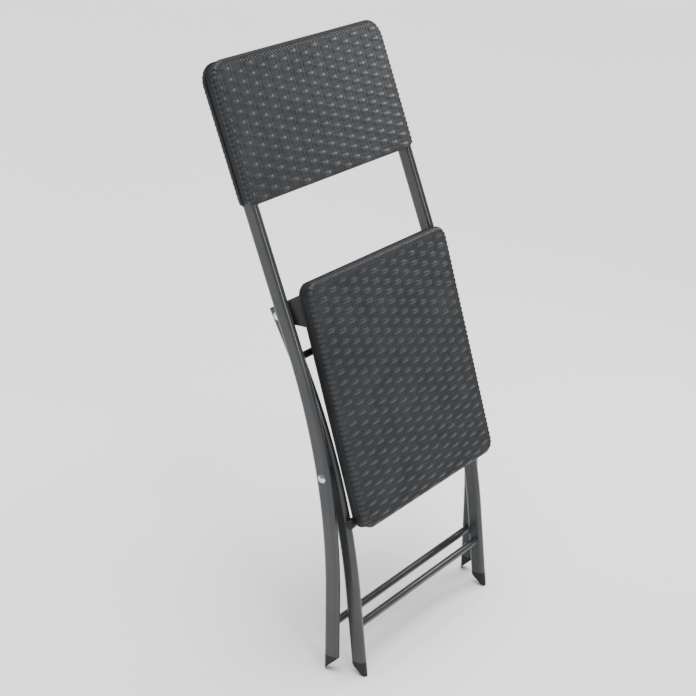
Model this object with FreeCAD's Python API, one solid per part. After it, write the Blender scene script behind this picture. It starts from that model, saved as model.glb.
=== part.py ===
"""Folding patio chair: two bent steel leg frames, a moulded seat and a moulded backrest.

The chair is modelled folded flat and standing upright on its feet. X runs across the chair,
+Y points to its rear and +Z up. Shapes are drawn in the side plane (Y, Z) and given their
width along X. The origin is at the middle of the folded chair's box, on the floor.
"""
import FreeCAD, Part
import math
import os
from FreeCAD import Vector

# ---------------------------------------------------------------- driving dimensions, mm

# flat-oval leg tube
TUBE_DEPTH = 26.0           # across the flats, seen from the side
TUBE_THICK = 14.0           # along X
TUBE_WALL = 1.2

# front frame: one tube each side, front foot to backrest
FRONT_SPACING = 410.0       # between the two tube centres
FRONT_FOOT_LEAN = 4.5       # degrees towards the front, going up
FRONT_STRAIGHT = 140.0      # from the floor up to the bend
BEND_RADIUS = 1100.0
BEND_ANGLE = 21.5
FRONT_LENGTH = 980.0        # along the centreline, floor to top end

# rear frame: same bend, turned about the scissor pivot
REAR_SPACING = 363.0
SCISSOR_HEIGHT = 342.0      # of the pivot above the floor, folded
FOLD_GAP = 29.66            # between the two frames at the seat pivot, folded
PIVOT_TO_SEAT_PIVOT = 262.0  # straight distance along the rear leg
REAR_TOP_MARGIN = 13.0      # tube beyond the seat pivot

OPEN_LEAN = 50.0            # front frame turns back this far when opened, degrees

# crossbars between the legs
CROSSBAR_DIA = 13.0
CROSSBAR_WALL = 1.0
CROSSBAR_HEIGHT = 87.0      # above the foot, along the leg

# foot caps
FOOT_WALL_ABOVE = 3.0       # cap left above the short side of the sole
FOOT_PLUG = 22.0            # length inside the tube
FIT_CLEARANCE = 0.1
PLUG_CAP = 2.0              # end plug of the rear leg's top
PLUG_TO_RIVET = 1.0

# backrest panel
BACK_SIDE_WALL = 3.5        # outside each leg tube
BACK_FACE_WALL = 2.0        # in front of and behind the leg tubes
BACK_HEIGHT = 222.0
BACK_OVER_TUBE = 26.0       # panel above the top ends of the tubes
BACK_TOP_RADIUS = 32.0
BACK_BOTTOM_RADIUS = 12.0

# seat panel
SEAT_WIDTH = 374.0
SEAT_DEPTH = 402.0
SEAT_THICK = 28.0
SEAT_CORNER_RADIUS = 22.0
SEAT_LEAN = 21.7            # folded, degrees towards the front going up
PANEL_EDGE_RADIUS = 6.0
PANEL_WALL = 3.0
HOLLOW_MARGIN = 14.0        # solid rim round the air space
BOSS_DIA = 16.0

# seat underside hardware, measured from the seat's front edge and below its underside
GUIDE_BELOW_PIVOT = 47.8    # height of the seat pivot above the guide rod, folded
GUIDE_SET_BACK = 109.0      # of the guide rod from the seat's front edge, folded
GUIDE_DEPTH = 13.2          # of the guide rod below the seat
GUIDE_ROD_DIA = 12.0
SLEEVE_DIA = 15.0
SLEEVE_FLANGE_DIA = 19.0
SLOT_CLEARANCE = 0.4
RAIL_X = 140.0              # middle of the slotted web
RAIL_THICK = 3.0
RAIL_WEB = 27.0
RAIL_FLANGE = 24.0
BRACKET_THICK = 3.0
BRACKET_LENGTH = 56.0
BRACKET_FLANGE = 26.0
BRACKET_RIM = 9.0
WASHER_GAP = 0.3
WASHER_THICK = 1.2
RAIL_FRONT = 70.0
RAIL_REAR = 395.0
SLEEVE_GAP = 0.5
SLEEVE_FLANGE = 2.0
GUIDE_END_GAP = 0.6
REST_TUBE_DIA = 16.0
REST_TUBE_LENGTH = 380.0
REST_TUBE_SET_BACK = 387.0
REST_TUBE_GAP = 0.99         # to the rear legs that it lies against, folded
REST_CAP_LENGTH = 7.0
REST_CAP_RIM = 0.5          # cap outside the tube, all round

# rivets and screws
RIVET_DIA = 8.0
RIVET_HEAD_DIA = 14.0
RIVET_HEAD_HEIGHT = 3.0
RIVET_CLEARANCE = 0.05
SPACER_DIA = 20.0
SCREW_DIA = 5.0
SCREW_HEAD_DIA = 10.0
SCREW_HEAD_HEIGHT = 2.4
SCREW_LENGTH = 16.0
RAIL_SCREW_SHARES = (0.06, 0.5, 0.88)       # of the rail's length, from its front end
BRACKET_SCREW_STEP = 20.0                   # either side of the seat pivot
BACK_SCREW_SHARES = (0.2, 0.7)              # of the backrest's height, from its bottom

ACROSS = Vector(1, 0, 0)
BIG = 3000.0
OVERRUN = 1.0               # of a cutting or joining shape past the face it meets

FOLD_GAP_ANGLE = math.degrees(math.asin(FOLD_GAP / PIVOT_TO_SEAT_PIVOT))
BACK_WIDTH = FRONT_SPACING + TUBE_THICK + 2 * BACK_SIDE_WALL
REST_CAP_DIA = REST_TUBE_DIA + 2 * REST_CAP_RIM
BACK_THICK = TUBE_DEPTH + 2 * BACK_FACE_WALL
BACK_BOTTOM = FRONT_LENGTH + BACK_OVER_TUBE - BACK_HEIGHT   # along the leg, from the floor


# ---------------------------------------------------------------- side-plane geometry

def turned(point, centre, degrees):
    """A side-plane point turned about X; positive moves the top towards the front."""
    a = math.radians(degrees)
    y = point[0] - centre[0]
    z = point[1] - centre[1]
    return (centre[0] + y * math.cos(a) - z * math.sin(a),
            centre[1] + y * math.sin(a) + z * math.cos(a))


def along(point, lean, distance, aside=0.0):
    """Go up a line that leans towards the front, then aside towards the rear."""
    a = math.radians(lean)
    return (point[0] - distance * math.sin(a) + aside * math.cos(a),
            point[1] + distance * math.cos(a) + aside * math.sin(a))


def distance(a, b):
    return math.hypot(a[0] - b[0], a[1] - b[1])


def lean_of(low, high):
    """Lean towards the front of the line from low to high, in degrees."""
    return math.degrees(math.atan2(low[0] - high[0], high[1] - low[1]))


def at(x, point):
    return Vector(x, point[0], point[1])


class BentLeg:
    """Centreline of a leg tube: straight, one bend, straight, in the side plane."""

    def __init__(self, foot, lean, straight, radius, bend, length):
        self.foot = foot
        self.lean = lean
        self.straight = straight
        self.radius = radius
        self.bend = bend
        self.length = length
        self.arc_length = radius * math.radians(bend)
        self.bend_start = along(foot, lean, straight)
        self.centre = along(self.bend_start, lean, 0, -radius)
        self.bend_end = turned(self.bend_start, self.centre, bend)

    def point(self, s, aside=0.0):
        """Point at a distance s from the floor end, aside towards the rear."""
        if s <= self.straight:
            return along(self.foot, self.lean, s, aside)
        if s <= self.straight + self.arc_length:
            angle = math.degrees((s - self.straight) / self.radius)
            return turned(along(self.bend_start, self.lean, 0, aside), self.centre, angle)
        rest = s - self.straight - self.arc_length
        return along(self.bend_end, self.lean + self.bend, rest, aside)

    def lean_at(self, s):
        """Lean of the centreline at a distance s from the floor end."""
        if s <= self.straight:
            return self.lean
        return self.lean + min(self.bend, math.degrees((s - self.straight) / self.radius))

    def at_height(self, z):
        """Distance along the leg at which it reaches a height."""
        low = 0.0
        high = self.length
        for _ in range(60):
            middle = (low + high) / 2
            if self.point(middle)[1] < z:
                low = middle
            else:
                high = middle
        return low

    def away(self, place):
        """How far a place lies from the centreline."""
        low = 0.0
        high = self.length
        for _ in range(60):
            third = (high - low) / 3
            if distance(self.point(low + third), place) < distance(self.point(high - third), place):
                high -= third
            else:
                low += third
        return distance(self.point(low), place)

    def rotated(self, centre, degrees, shift=0.0):
        """The same bend turned about a point, its foot end moved down by shift."""
        foot = turned(along(self.foot, self.lean, -shift), centre, degrees)
        return BentLeg(foot, self.lean + degrees, self.straight + shift, self.radius,
                       self.bend, self.length + shift)


# ---------------------------------------------------------------- solids

def stadium(x, middle, lean, depth, thick):
    """Flat-oval face square to a centreline, its long side in the side plane."""
    straight = (depth - thick) / 2
    r = thick / 2
    rear = along(middle, lean, 0, straight)
    front = along(middle, lean, 0, -straight)
    rear_tip = along(middle, lean, 0, straight + r)
    front_tip = along(middle, lean, 0, -straight - r)
    edges = [
        Part.LineSegment(at(x + r, front), at(x + r, rear)).toShape(),
        Part.Arc(at(x + r, rear), at(x, rear_tip), at(x - r, rear)).toShape(),
        Part.LineSegment(at(x - r, rear), at(x - r, front)).toShape(),
        Part.Arc(at(x - r, front), at(x, front_tip), at(x + r, front)).toShape(),
    ]
    return Part.Face(Part.Wire(edges))


def bent_bar(leg, x, start, end, depth, thick):
    """A flat-oval bar that follows a leg's centreline from start to end."""
    marks = [leg.straight, leg.straight + leg.arc_length]
    stops = [start] + [m for m in marks if start < m < end] + [end]
    pieces = []
    for low, high in zip(stops, stops[1:]):
        face = stadium(x, leg.point(low), leg.lean_at(low), depth, thick)
        in_bend = low >= leg.straight and high <= leg.straight + leg.arc_length + 1e-6
        if in_bend:
            angle = math.degrees((high - low) / leg.radius)
            pieces.append(face.revolve(at(0, leg.centre), ACROSS, angle))
        else:
            pieces.append(face.extrude(at(0, leg.point(high)) - at(0, leg.point(low))))
    return pieces[0].multiFuse(pieces[1:]).removeSplitter() if pieces[1:] else pieces[0]


def bent_tube(leg, x, start, end):
    inner = TUBE_DEPTH - 2 * TUBE_WALL, TUBE_THICK - 2 * TUBE_WALL
    outside = bent_bar(leg, x, start, end, TUBE_DEPTH, TUBE_THICK)
    return outside.cut(bent_bar(leg, x, start, end, *inner))


def rod(x0, x1, point, dia):
    """Round bar along X."""
    return Part.makeCylinder(dia / 2, abs(x1 - x0), at(min(x0, x1), point), ACROSS)


def slab(corner, lean, x0, x1, depth_range, length_range):
    """Box set along a leaning line: depth runs towards the rear, length runs up."""
    d0, d1 = depth_range
    l0, l1 = length_range
    corners = [(l0, d0), (l0, d1), (l1, d1), (l1, d0)]
    points = [at(x0, along(corner, lean, l, d)) for l, d in corners]
    face = Part.Face(Part.makePolygon(points + points[:1]))
    return face.extrude(Vector(x1 - x0, 0, 0))


def below_line(point, slope):
    """Everything under a plane through a side-plane point; slope rises to the rear."""
    block = slab(point, 0.0, -BIG / 2, BIG / 2, (-BIG, BIG), (-BIG, 0))
    return block.rotated(at(0, point), ACROSS, slope)


def only_solid(shape):
    """The single solid of a Boolean's result."""
    return shape.Solids[0] if len(shape.Solids) == 1 else shape


# ---------------------------------------------------------------- linkage

def front_leg_line():
    """Front leg centreline: the front corner of its sole stands at Y 0, Z 0."""
    half = TUBE_DEPTH / 2
    a = math.radians(FRONT_FOOT_LEAN)
    foot = (half / math.cos(a), 0.0)
    return BentLeg(foot, FRONT_FOOT_LEAN, FRONT_STRAIGHT, BEND_RADIUS, BEND_ANGLE, FRONT_LENGTH)


front_leg = front_leg_line()
front_toe = (0.0, 0.0)
scissor = front_leg.point(front_leg.at_height(SCISSOR_HEIGHT))

rear_turned = front_leg.rotated(scissor, FOLD_GAP_ANGLE)
half_depth = TUBE_DEPTH / 2


def rear_shift():
    """How much longer the rear leg is, so that its heel stands on the floor too."""
    heel = rear_turned.point(0.0, half_depth)
    return heel[1] / math.cos(math.radians(rear_turned.lean))


rear_leg = front_leg.rotated(scissor, FOLD_GAP_ANGLE, rear_shift())
rear_heel = rear_leg.point(0.0, half_depth)


def rear_pivot_distance():
    """Distance along the rear leg at which the seat pivot sits."""
    low = rear_leg.at_height(SCISSOR_HEIGHT)
    high = rear_leg.length
    for _ in range(60):
        middle = (low + high) / 2
        if distance(rear_leg.point(middle), scissor) < PIVOT_TO_SEAT_PIVOT:
            low = middle
        else:
            high = middle
    return low


seat_pivot_s = rear_pivot_distance()
seat_pivot = rear_leg.point(seat_pivot_s)
guide = front_leg.point(front_leg.at_height(seat_pivot[1] - GUIDE_BELOW_PIVOT))

# the seat's underside passes at a fixed depth from the guide rod
seat_under_front = along(guide, SEAT_LEAN, GUIDE_SET_BACK, GUIDE_DEPTH)


def seat_point(set_back, depth):
    """Point measured back from the seat's front edge and down from its underside."""
    return along(seat_under_front, SEAT_LEAN, -set_back, -depth)


def seat_depth_of(point):
    """How far below the seat's underside a point lies."""
    a = math.radians(SEAT_LEAN)
    dy = point[0] - seat_under_front[0]
    dz = point[1] - seat_under_front[1]
    return -(dy * math.cos(a) + dz * math.sin(a))


def seat_set_back_of(point):
    """How far behind the seat's front edge a point lies."""
    a = math.radians(SEAT_LEAN)
    dy = point[0] - seat_under_front[0]
    dz = point[1] - seat_under_front[1]
    return dy * math.sin(a) - dz * math.cos(a)


pivot_depth = seat_depth_of(seat_pivot)
pivot_set_back = seat_set_back_of(seat_pivot)


def open_position():
    """Turn of the rear frame and of the seat that puts both soles on one floor."""
    scissor_height = turned(scissor, front_toe, -OPEN_LEAN)[1]
    reach = distance(rear_heel, scissor)
    heel_lean = lean_of(rear_heel, scissor)
    open_heel_lean = math.degrees(math.acos(scissor_height / reach))
    rear_turn = open_heel_lean - heel_lean + OPEN_LEAN
    pivot_open = turned(seat_pivot, scissor, rear_turn)
    reach_to_guide = distance(pivot_open, guide)
    drop = math.degrees(math.asin((pivot_depth - GUIDE_DEPTH) / reach_to_guide))
    towards_guide = lean_of(pivot_open, guide)
    seat_lean_open = towards_guide + 180.0 - drop
    seat_turn = (seat_lean_open - SEAT_LEAN) % 360.0
    along_seat = reach_to_guide * math.cos(math.radians(drop))
    return rear_turn, seat_turn - rear_turn, pivot_set_back + along_seat - GUIDE_SET_BACK


REAR_TURN, SEAT_TURN, GUIDE_TRAVEL = open_position()

# ---------------------------------------------------------------- leg frames

FRONT_X = FRONT_SPACING / 2
REAR_X = REAR_SPACING / 2
FRONT_INNER = FRONT_X - TUBE_THICK / 2
REAR_OUTER = REAR_X + TUBE_THICK / 2
REAR_INNER = REAR_X - TUBE_THICK / 2
BRACKET_OUTER = REAR_INNER - WASHER_GAP - WASHER_THICK
BRACKET_INNER = BRACKET_OUTER - BRACKET_THICK
SIDES = (("left", -1), ("right", 1))


def tube_start(sole_slope, lean):
    """Length along the leg from the sole's long corner to the tube's square end."""
    return TUBE_DEPTH * math.tan(math.radians(abs(sole_slope - lean))) + FOOT_WALL_ABOVE


def leg_tube(leg, x, start, end, holes):
    tube = bent_tube(leg, x, start, end)
    for point, dia in holes:
        tube = tube.cut(rod(x - TUBE_THICK, x + TUBE_THICK, point, dia))
    return only_solid(tube)


def foot_cap(leg, x, long_corner, sole_slope, start):
    """Plastic foot: a wedge flush with the tube, and a plug inside it."""
    wedge = bent_bar(leg, x, -TUBE_DEPTH, start, TUBE_DEPTH, TUBE_THICK)
    inner = TUBE_DEPTH - 2 * TUBE_WALL - 2 * FIT_CLEARANCE
    thin = TUBE_THICK - 2 * TUBE_WALL - 2 * FIT_CLEARANCE
    plug = bent_bar(leg, x, start - OVERRUN, start + FOOT_PLUG, inner, thin)
    return only_solid(wedge.fuse(plug).cut(below_line(long_corner, sole_slope)).removeSplitter())


REAR_SOLE = OPEN_LEAN - REAR_TURN
FRONT_SOLE = OPEN_LEAN
FRONT_START = tube_start(FRONT_SOLE, front_leg.lean)
REAR_START = tube_start(REAR_SOLE, rear_leg.lean)
REAR_TOP = seat_pivot_s + REAR_TOP_MARGIN
HOLE_DIA = RIVET_DIA + 2 * RIVET_CLEARANCE


def crossbar(leg, inner_x, start):
    """Round tube welded between two legs."""
    centre = leg.point(CROSSBAR_HEIGHT + start)
    bar = rod(-inner_x, inner_x, centre, CROSSBAR_DIA)
    return bar.cut(rod(-inner_x, inner_x, centre, CROSSBAR_DIA - 2 * CROSSBAR_WALL))


def headed_rivet(x_head, x_tail, point):
    """Rivet along X, turned in one piece: a plain shank with a low dome on each end."""
    r = RIVET_HEAD_DIA / 2
    dome_r = (r * r + RIVET_HEAD_HEIGHT ** 2) / (2 * RIVET_HEAD_HEIGHT)
    half_way = math.asin(r / dome_r) / 2

    def spot(x, radius):
        return at(x, (point[0], point[1] + radius))

    def dome(x, way):
        """Arc from a dome's top, on the axis, out to its rim."""
        middle = x - way * (dome_r - RIVET_HEAD_HEIGHT)
        return Part.Arc(spot(x + way * RIVET_HEAD_HEIGHT, 0),
                        spot(middle + way * dome_r * math.cos(half_way),
                             dome_r * math.sin(half_way)),
                        spot(x, r)).toShape()

    def line(*ends):
        return Part.LineSegment(*ends).toShape()

    out = 1 if x_tail > x_head else -1
    shank_r = RIVET_DIA / 2
    outline = [
        dome(x_head, -out),
        line(spot(x_head, r), spot(x_head, shank_r)),
        line(spot(x_head, shank_r), spot(x_tail, shank_r)),
        line(spot(x_tail, shank_r), spot(x_tail, r)),
        dome(x_tail, out),
        line(spot(x_tail + out * RIVET_HEAD_HEIGHT, 0), spot(x_head - out * RIVET_HEAD_HEIGHT, 0)),
    ]
    face = Part.Face(Part.Wire(Part.sortEdges(outline)[0]))
    return only_solid(face.revolve(at(0, point), ACROSS, 360))


def ring(x0, x1, point, outer, inner):
    bore = rod(min(x0, x1) - OVERRUN, max(x0, x1) + OVERRUN, point, inner)
    return rod(x0, x1, point, outer).cut(bore)


# ---------------------------------------------------------------- moulded panels

def edges_in(shape, test):
    return [edge for edge in shape.Edges if test(edge.BoundBox)]


def moulded_panel(width, length, thick, bottom_radius, top_radius):
    """Flat panel standing on its lower edge: rounded corners, then rounded rims."""
    panel = Part.makeBox(width, thick, length, Vector(-width / 2, 0, 0))

    def corner(box, z):
        return box.XLength < 1 and box.ZLength < 1 and abs(box.ZMin - z) < 1

    panel = panel.makeFillet(bottom_radius, edges_in(panel, lambda box: corner(box, 0)))
    panel = panel.makeFillet(top_radius, edges_in(panel, lambda box: corner(box, length)))
    return panel.makeFillet(PANEL_EDGE_RADIUS, edges_in(panel, lambda box: box.YLength < 1e-4))


def hollow(half_width, low, high, thick, posts):
    """The air inside a blow-moulded panel, less the posts that tie its two skins."""
    air = Part.makeBox(2 * half_width, thick - 2 * PANEL_WALL, high - low,
                       Vector(-half_width, PANEL_WALL, low))
    for x, z in posts:
        air = air.cut(Part.makeCylinder(BOSS_DIA / 2, thick, Vector(x, 0, z), Vector(0, 1, 0)))
    return air


def stood_at(shape, corner, lean):
    """Lean a panel built upright, then put its lower corner in place."""
    placed = shape.rotated(Vector(0, 0, 0), ACROSS, lean)
    placed.translate(at(0, corner))
    return placed


def seat_screw_places():
    """X and set back of each screw through the rail and bracket flanges."""
    rail_x = RAIL_X - RAIL_FLANGE / 2
    bracket_x = BRACKET_INNER - BRACKET_FLANGE / 2
    places = []
    for side in (-1, 1):
        for share in RAIL_SCREW_SHARES:
            places.append((side * rail_x, RAIL_FRONT + share * (RAIL_REAR - RAIL_FRONT)))
        for step in (-BRACKET_SCREW_STEP, BRACKET_SCREW_STEP):
            places.append((side * bracket_x, pivot_set_back + step))
    return places


def seat_panel():
    panel = moulded_panel(SEAT_WIDTH, SEAT_DEPTH, SEAT_THICK,
                          SEAT_CORNER_RADIUS, SEAT_CORNER_RADIUS)
    posts = [(x, SEAT_DEPTH - set_back) for x, set_back in seat_screw_places()]
    half = SEAT_WIDTH / 2 - HOLLOW_MARGIN
    above_groove = SEAT_DEPTH - REST_TUBE_SET_BACK + REST_TUBE_DIA / 2 + PANEL_WALL
    panel = panel.cut(hollow(half, above_groove, SEAT_DEPTH - HOLLOW_MARGIN, SEAT_THICK, posts))
    panel = stood_at(panel, seat_point(SEAT_DEPTH, 0), SEAT_LEAN)
    groove = rod(-SEAT_WIDTH, SEAT_WIDTH, rest_tube_middle, REST_TUBE_DIA)
    panel = panel.cut(groove)
    for x, set_back in seat_screw_places():
        panel = panel.cut(seat_screw(x, set_back, FIT_CLEARANCE))
    return only_solid(panel)


def seat_screw(x, set_back, clearance=0.0):
    """Pan-head screw driven up into the seat from under a flange."""
    way = at(0, seat_point(0, -1)) - at(0, seat_point(0, 0))
    head_at = at(x, seat_point(set_back, RAIL_THICK))
    shank = Part.makeCylinder(SCREW_DIA / 2 + clearance, SCREW_LENGTH, head_at, way)
    if clearance:
        return shank
    head = Part.makeCylinder(SCREW_HEAD_DIA / 2, SCREW_HEAD_HEIGHT,
                             at(x, seat_point(set_back, RAIL_THICK + SCREW_HEAD_HEIGHT)), way)
    return head.fuse(shank).removeSplitter()


def back_screw_places():
    """X and distance up the front leg of each screw that holds the backrest."""
    return [(side * FRONT_X, BACK_BOTTOM + share * BACK_HEIGHT)
            for _, side in SIDES for share in BACK_SCREW_SHARES]


def back_screw(x, s, clearance=0.0):
    """Pan-head screw from the backrest's front face into the leg tube."""
    lean = front_leg.lean_at(s)
    face = front_leg.point(s, -BACK_THICK / 2)
    way = at(0, along((0, 0), lean, 0, 1))
    shank = Part.makeCylinder(SCREW_DIA / 2 + clearance, SCREW_LENGTH, at(x, face), way)
    if clearance:
        return shank
    outside = front_leg.point(s, -BACK_THICK / 2 - SCREW_HEAD_HEIGHT)
    head = Part.makeCylinder(SCREW_HEAD_DIA / 2, SCREW_HEAD_HEIGHT, at(x, outside), way)
    return head.fuse(shank).removeSplitter()


def backrest_panel():
    panel = moulded_panel(BACK_WIDTH, BACK_HEIGHT, BACK_THICK,
                          BACK_BOTTOM_RADIUS, BACK_TOP_RADIUS)
    half = FRONT_INNER - HOLLOW_MARGIN
    panel = panel.cut(hollow(half, HOLLOW_MARGIN, BACK_HEIGHT - HOLLOW_MARGIN, BACK_THICK,
                             [(0, BACK_HEIGHT / 2)]))
    lean = front_leg.lean_at(BACK_BOTTOM)
    panel = stood_at(panel, front_leg.point(BACK_BOTTOM, -BACK_THICK / 2), lean)
    for _, side in SIDES:
        depth = TUBE_DEPTH + 2 * FIT_CLEARANCE
        thick = TUBE_THICK + 2 * FIT_CLEARANCE
        panel = panel.cut(bent_bar(front_leg, side * FRONT_X, BACK_BOTTOM - OVERRUN,
                                   FRONT_LENGTH + FIT_CLEARANCE, depth, thick))
    for x, s in back_screw_places():
        panel = panel.cut(back_screw(x, s, FIT_CLEARANCE))
    return only_solid(panel)


# ---------------------------------------------------------------- seat hardware


def rest_tube_depth():
    """Depth under the seat at which the rest tube just clears the folded rear legs."""
    wanted = TUBE_DEPTH / 2 + REST_TUBE_DIA / 2 + REST_TUBE_GAP
    deep = RAIL_WEB
    shallow = -SEAT_THICK
    for _ in range(60):
        middle = (deep + shallow) / 2
        if rear_leg.away(seat_point(REST_TUBE_SET_BACK, middle)) < wanted:
            deep = middle
        else:
            shallow = middle
    return shallow


rest_tube_middle = seat_point(REST_TUBE_SET_BACK, rest_tube_depth())



def seat_slab(x0, x1, backs, depths):
    """Box under the seat, between two set backs and two depths."""
    return slab(seat_under_front, SEAT_LEAN, x0, x1,
                (-depths[1], -depths[0]), (-backs[1], -backs[0]))


def seat_rail(side):
    """Pressed angle: a slotted web under the seat, and a flange screwed to it."""
    web = seat_slab(side * (RAIL_X - RAIL_THICK / 2), side * (RAIL_X + RAIL_THICK / 2),
                    (RAIL_FRONT, RAIL_REAR), (0, RAIL_WEB))
    flange = seat_slab(side * (RAIL_X - RAIL_FLANGE), side * (RAIL_X + RAIL_THICK / 2),
                       (RAIL_FRONT, RAIL_REAR), (0, RAIL_THICK))
    rail = web.fuse(flange)
    half = SLEEVE_DIA / 2 + SLOT_CLEARANCE
    ends = (GUIDE_SET_BACK, GUIDE_SET_BACK + GUIDE_TRAVEL)
    x0 = side * (RAIL_X - RAIL_THICK)
    x1 = side * (RAIL_X + RAIL_THICK)
    rail = rail.cut(seat_slab(x0, x1, ends, (GUIDE_DEPTH - half, GUIDE_DEPTH + half)))
    for set_back in ends:
        rail = rail.cut(rod(x0, x1, seat_point(set_back, GUIDE_DEPTH), 2 * half))
    rail = rail.cut(rod(-RAIL_X * 2, RAIL_X * 2, rest_tube_middle, REST_TUBE_DIA))
    for x, set_back in seat_screw_places():
        rail = rail.cut(seat_screw(x, set_back, FIT_CLEARANCE))
    return only_solid(rail.removeSplitter())


def seat_bracket(side):
    """Front bracket: an ear down to the rear leg's top, and a flange under the seat."""
    low = pivot_set_back - BRACKET_LENGTH / 2
    high = pivot_set_back + BRACKET_LENGTH / 2
    tip = RIVET_HEAD_DIA / 2 + BRACKET_RIM
    outline = [(low, 0), (high, 0), (pivot_set_back + tip, pivot_depth),
               (pivot_set_back - tip, pivot_depth)]
    points = [at(side * BRACKET_INNER, seat_point(b, d)) for b, d in outline]
    ear = Part.Face(Part.makePolygon(points + points[:1]))
    ear = ear.extrude(Vector(side * BRACKET_THICK, 0, 0))
    ear = ear.fuse(rod(side * BRACKET_INNER, side * BRACKET_OUTER, seat_pivot, 2 * tip))
    flange = seat_slab(side * (BRACKET_INNER - BRACKET_FLANGE), side * BRACKET_OUTER,
                       (low, high), (0, RAIL_THICK))
    bracket = ear.fuse(flange)
    bracket = bracket.cut(rod(side * (BRACKET_INNER - OVERRUN), side * (BRACKET_OUTER + OVERRUN),
                              seat_pivot, RIVET_DIA))
    for x, set_back in seat_screw_places():
        bracket = bracket.cut(seat_screw(x, set_back, FIT_CLEARANCE))
    return only_solid(bracket.removeSplitter())


def rest_tube_cap(side):
    """Push-in end cap of the tube that rests against the legs when folded."""
    end = side * REST_TUBE_LENGTH / 2
    head = rod(end, end + side * REST_CAP_LENGTH, rest_tube_middle, REST_CAP_DIA)
    rim = edges_in(head, lambda box: abs(box.Center.x) > abs(end) + REST_CAP_LENGTH / 2
                   and box.XLength < 1e-4)
    head = head.makeFillet(REST_CAP_LENGTH / 3, rim)
    inner = REST_TUBE_DIA - 2 * TUBE_WALL - 2 * FIT_CLEARANCE
    plug = rod(end - side * REST_CAP_LENGTH * 2, end, rest_tube_middle, inner)
    return only_solid(head.fuse(plug).removeSplitter())


def guide_sleeve(side):
    """Flanged nylon sleeve that runs in a rail's slot."""
    bore = GUIDE_ROD_DIA + 2 * FIT_CLEARANCE
    body = SLEEVE_GAP + RAIL_THICK / 2
    shape = rod(side * RAIL_X - body, side * RAIL_X + body, guide, SLEEVE_DIA)
    for way in (-1, 1):
        near = side * RAIL_X + way * body
        shape = shape.fuse(rod(near, near + way * SLEEVE_FLANGE, guide, SLEEVE_FLANGE_DIA))
    return shape.removeSplitter().cut(rod(-FRONT_X, FRONT_X, guide, bore))


def leg_plug(side):
    """Plastic plug in the open top of a rear leg."""
    x = side * REAR_X
    inner = TUBE_DEPTH - 2 * TUBE_WALL - 2 * FIT_CLEARANCE
    thin = TUBE_THICK - 2 * TUBE_WALL - 2 * FIT_CLEARANCE
    cap = bent_bar(rear_leg, x, REAR_TOP, REAR_TOP + PLUG_CAP, TUBE_DEPTH, TUBE_THICK)
    stem_length = REAR_TOP_MARGIN - RIVET_DIA / 2 - PLUG_TO_RIVET
    stem = bent_bar(rear_leg, x, REAR_TOP - stem_length, REAR_TOP, inner, thin)
    return only_solid(cap.fuse(stem).removeSplitter())


# ---------------------------------------------------------------- assembly

nodes = {}
for name, side in SIDES:
    x = side * FRONT_X
    tube = leg_tube(front_leg, x, FRONT_START, FRONT_LENGTH, [(scissor, RIVET_DIA)])
    for screw_x, s in back_screw_places():
        tube = tube.cut(back_screw(screw_x, s, FIT_CLEARANCE))
    nodes["front_leg_" + name] = only_solid(tube)
    nodes["front_foot_" + name] = foot_cap(front_leg, x, front_toe, FRONT_SOLE, FRONT_START)
    nodes["scissor_rivet_" + name] = headed_rivet(side * (FRONT_INNER + TUBE_THICK),
                                                  side * (REAR_INNER - WASHER_GAP), scissor)
    nodes["scissor_spacer_" + name] = ring(side * (REAR_OUTER + WASHER_GAP),
                                           side * FRONT_INNER, scissor,
                                           SPACER_DIA, RIVET_DIA)
    x = side * REAR_X
    nodes["rear_leg_" + name] = leg_tube(rear_leg, x, REAR_START, REAR_TOP,
                                         [(scissor, HOLE_DIA), (seat_pivot, HOLE_DIA)])
    nodes["rear_foot_" + name] = foot_cap(rear_leg, x, rear_heel, REAR_SOLE, REAR_START)
    nodes["rear_leg_plug_" + name] = leg_plug(side)
    nodes["seat_rail_" + name] = seat_rail(side)
    nodes["seat_bracket_" + name] = seat_bracket(side)
    nodes["seat_pivot_rivet_" + name] = headed_rivet(side * (REAR_OUTER + WASHER_GAP),
                                                     side * BRACKET_INNER, seat_pivot)
    nodes["seat_pivot_washer_" + name] = ring(side * BRACKET_OUTER,
                                              side * (REAR_INNER - WASHER_GAP), seat_pivot,
                                              RIVET_HEAD_DIA, RIVET_DIA)
    nodes["rest_tube_cap_" + name] = rest_tube_cap(side)
    nodes["guide_sleeve_" + name] = guide_sleeve(side)

nodes["front_crossbar"] = crossbar(front_leg, FRONT_INNER, 0)
nodes["rear_crossbar"] = crossbar(rear_leg, REAR_INNER, 0)
nodes["backrest_panel"] = backrest_panel()
nodes["backrest_screws"] = Part.makeCompound([back_screw(x, s) for x, s in back_screw_places()])
nodes["seat_panel"] = seat_panel()
nodes["seat_screws"] = Part.makeCompound([seat_screw(x, b) for x, b in seat_screw_places()])
rest_half = REST_TUBE_LENGTH / 2
nodes["seat_rest_tube"] = ring(-rest_half, rest_half, rest_tube_middle, REST_TUBE_DIA,
                               REST_TUBE_DIA - 2 * TUBE_WALL)
guide_half = FRONT_INNER - GUIDE_END_GAP
nodes["guide_rod"] = rod(-guide_half, guide_half, guide, GUIDE_ROD_DIA)

# the origin is at the middle of the folded chair's box, on the floor
box = Part.makeCompound(list(nodes.values())).optimalBoundingBox(False)
shift = Vector(-box.Center.x, -box.Center.y, -box.ZMin)
os.makedirs("parts", exist_ok=True)
for name, shape in nodes.items():
    shape.translate(shift)
    shape.exportStep("parts/" + name + ".step")

print("box %.1f x %.1f x %.1f" % (box.XLength, box.YLength, box.ZLength))
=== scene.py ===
"""Folding patio chair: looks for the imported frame, in the order the chair is put together."""

import math

import bmesh
import bpy
import numpy as np
from mathutils import Matrix, Vector


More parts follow.
